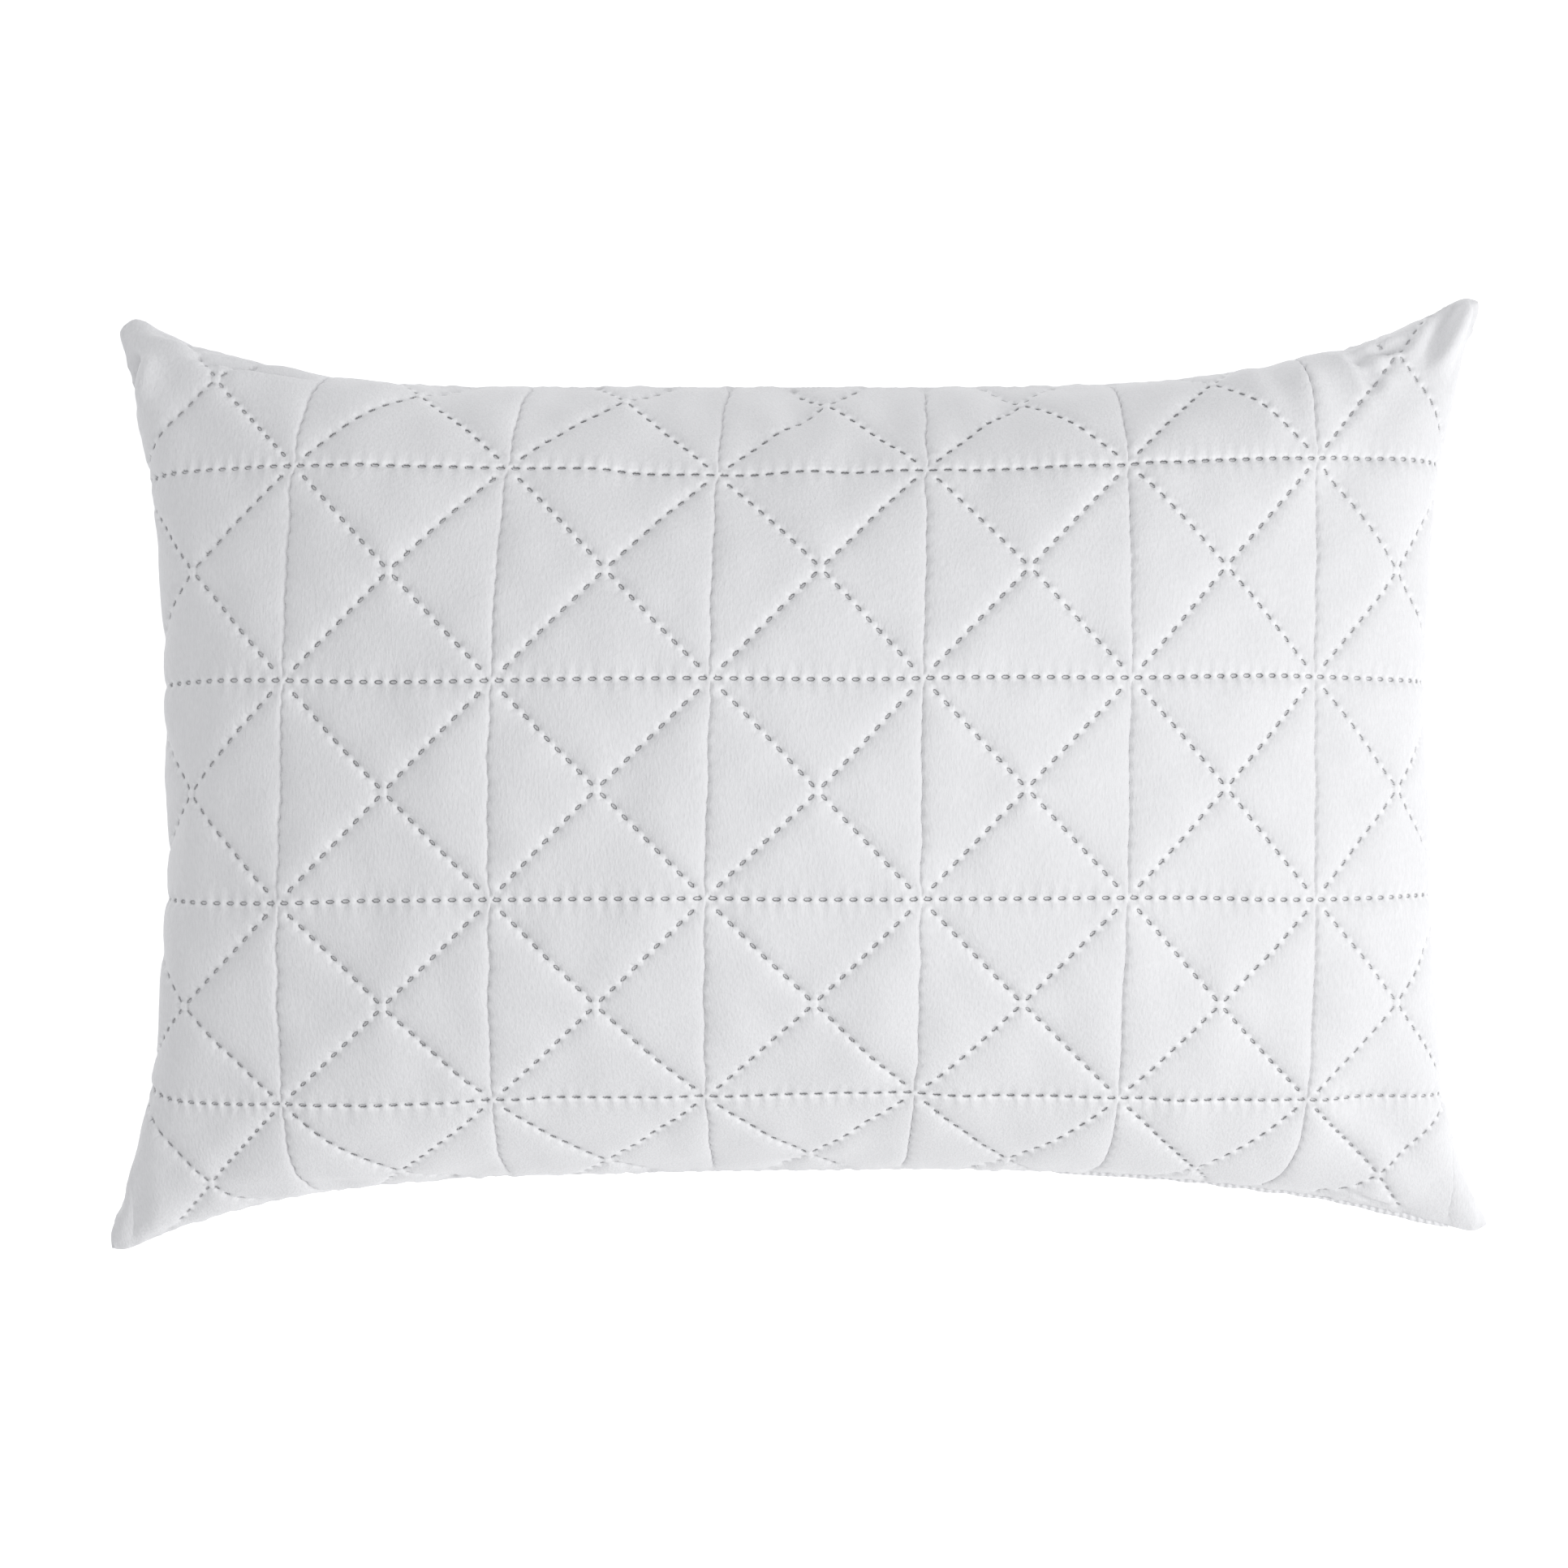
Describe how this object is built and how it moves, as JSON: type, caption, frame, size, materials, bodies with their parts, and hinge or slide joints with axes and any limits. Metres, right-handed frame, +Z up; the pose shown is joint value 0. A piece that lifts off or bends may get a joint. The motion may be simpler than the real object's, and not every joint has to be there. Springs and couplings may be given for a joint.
{
  "type": "bed pillow",
  "caption": "Plump rectangular bed pillow lying flat, with quilted panels, a fibre fill, a turned seam and a stitched closing ridge.",
  "frame": {"origin": "under the middle of the pillow, on the surface that its back panel lies on", "axes": "+X along the pillow's length, +Y across its width, +Z up through the front face; the closing ridge is on the -Y side towards +X"},
  "size_m": [0.724, 0.488, 0.205],
  "materials": {
    "shell_fabric": "satin",
    "wadding": "matte",
    "lining": "matte",
    "fibre_fill": "matte",
    "raw_edge": "matte",
    "thread": "satin"
  },
  "bodies": {
    "root": {"front_shell_panel": "shell_fabric", "back_shell_panel": "shell_fabric", "front_wadding": "wadding", "back_wadding": "wadding", "front_lining": "lining", "back_lining": "lining", "fibre_fill": "fibre_fill", "seam_allowance": "raw_edge", "seam_overlock_thread": "thread", "closing_seam_ridge": "shell_fabric", "closing_stitches": "thread"}
  },
  "joints": []
}
